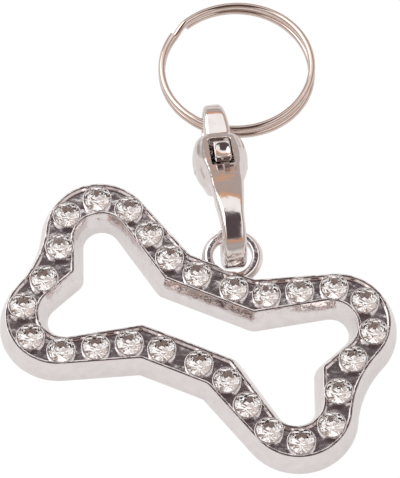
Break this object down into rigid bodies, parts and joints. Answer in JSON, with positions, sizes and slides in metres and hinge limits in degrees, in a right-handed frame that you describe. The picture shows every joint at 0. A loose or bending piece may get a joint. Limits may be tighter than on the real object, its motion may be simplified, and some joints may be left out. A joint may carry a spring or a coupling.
{
  "type": "pet id tag",
  "caption": "Open bone shaped collar charm set with round clear stones, hung on a lobster clasp with a sprung gate and a two turn split ring",
  "frame": {"origin": "centre of the whole part's box, on the plane that the bone's back rests on", "axes": "+X along the bone, +Y across the bone toward the split ring, +Z out of the bone's stone set face"},
  "size_m": [0.039, 0.0484, 0.0083],
  "materials": {
    "cast_metal": "polished bright plating on cast zinc alloy",
    "clear_stone": "cut clear glass with a silvered back",
    "clasp_metal": "polished bright plating on cast zinc alloy",
    "spring_wire": "drawn spring steel",
    "ring_wire": "bright nickel plated steel wire"
  },
  "bodies": {
    "tag": {"bone_frame": "cast_metal", "stone_01": "clear_stone", "stone_02": "clear_stone", "stone_03": "clear_stone", "stone_04": "clear_stone", "stone_05": "clear_stone", "stone_06": "clear_stone", "stone_07": "clear_stone", "stone_08": "clear_stone", "stone_09": "clear_stone", "stone_10": "clear_stone", "stone_11": "clear_stone", "stone_12": "clear_stone", "stone_13": "clear_stone", "stone_14": "clear_stone", "stone_15": "clear_stone", "stone_16": "clear_stone", "stone_17": "clear_stone", "stone_18": "clear_stone", "stone_19": "clear_stone", "stone_20": "clear_stone", "stone_21": "clear_stone", "stone_22": "clear_stone", "stone_23": "clear_stone", "stone_24": "clear_stone", "stone_25": "clear_stone", "stone_26": "clear_stone", "stone_27": "clear_stone", "stone_28": "clear_stone"},
    "clasp": {"clasp_body": "clasp_metal", "lever_rivet": "clasp_metal", "trigger_spring": "spring_wire"},
    "trigger": {"trigger_lever": "clasp_metal"},
    "ring": {"split_ring": "ring_wire"}
  },
  "joints": [
    {"name": "clasp_swing", "type": "hinge", "parent": "tag", "child": "clasp", "pos_m": [-0.00066, -0.00265, 0.00416], "axis": [0.8635, 0.5025, -0.0436], "range_deg": [-8, 110]},
    {"name": "trigger_pull", "type": "hinge", "parent": "clasp", "child": "trigger", "pos_m": [-0.00452, 0.0039, 0.00326], "axis": [-0.8635, -0.5025, 0.0436], "range_deg": [0, 20], "stiffness_Nm_per_rad": 0.0004, "springref_deg": -5.73, "deforming": ["trigger_spring"]},
    {"name": "ring_swing", "type": "hinge", "parent": "clasp", "child": "ring", "pos_m": [-0.00699, 0.00809, 0.00266], "axis": [0.9946, 0.0975, 0.0349], "range_deg": [-84, 84]}
  ]
}
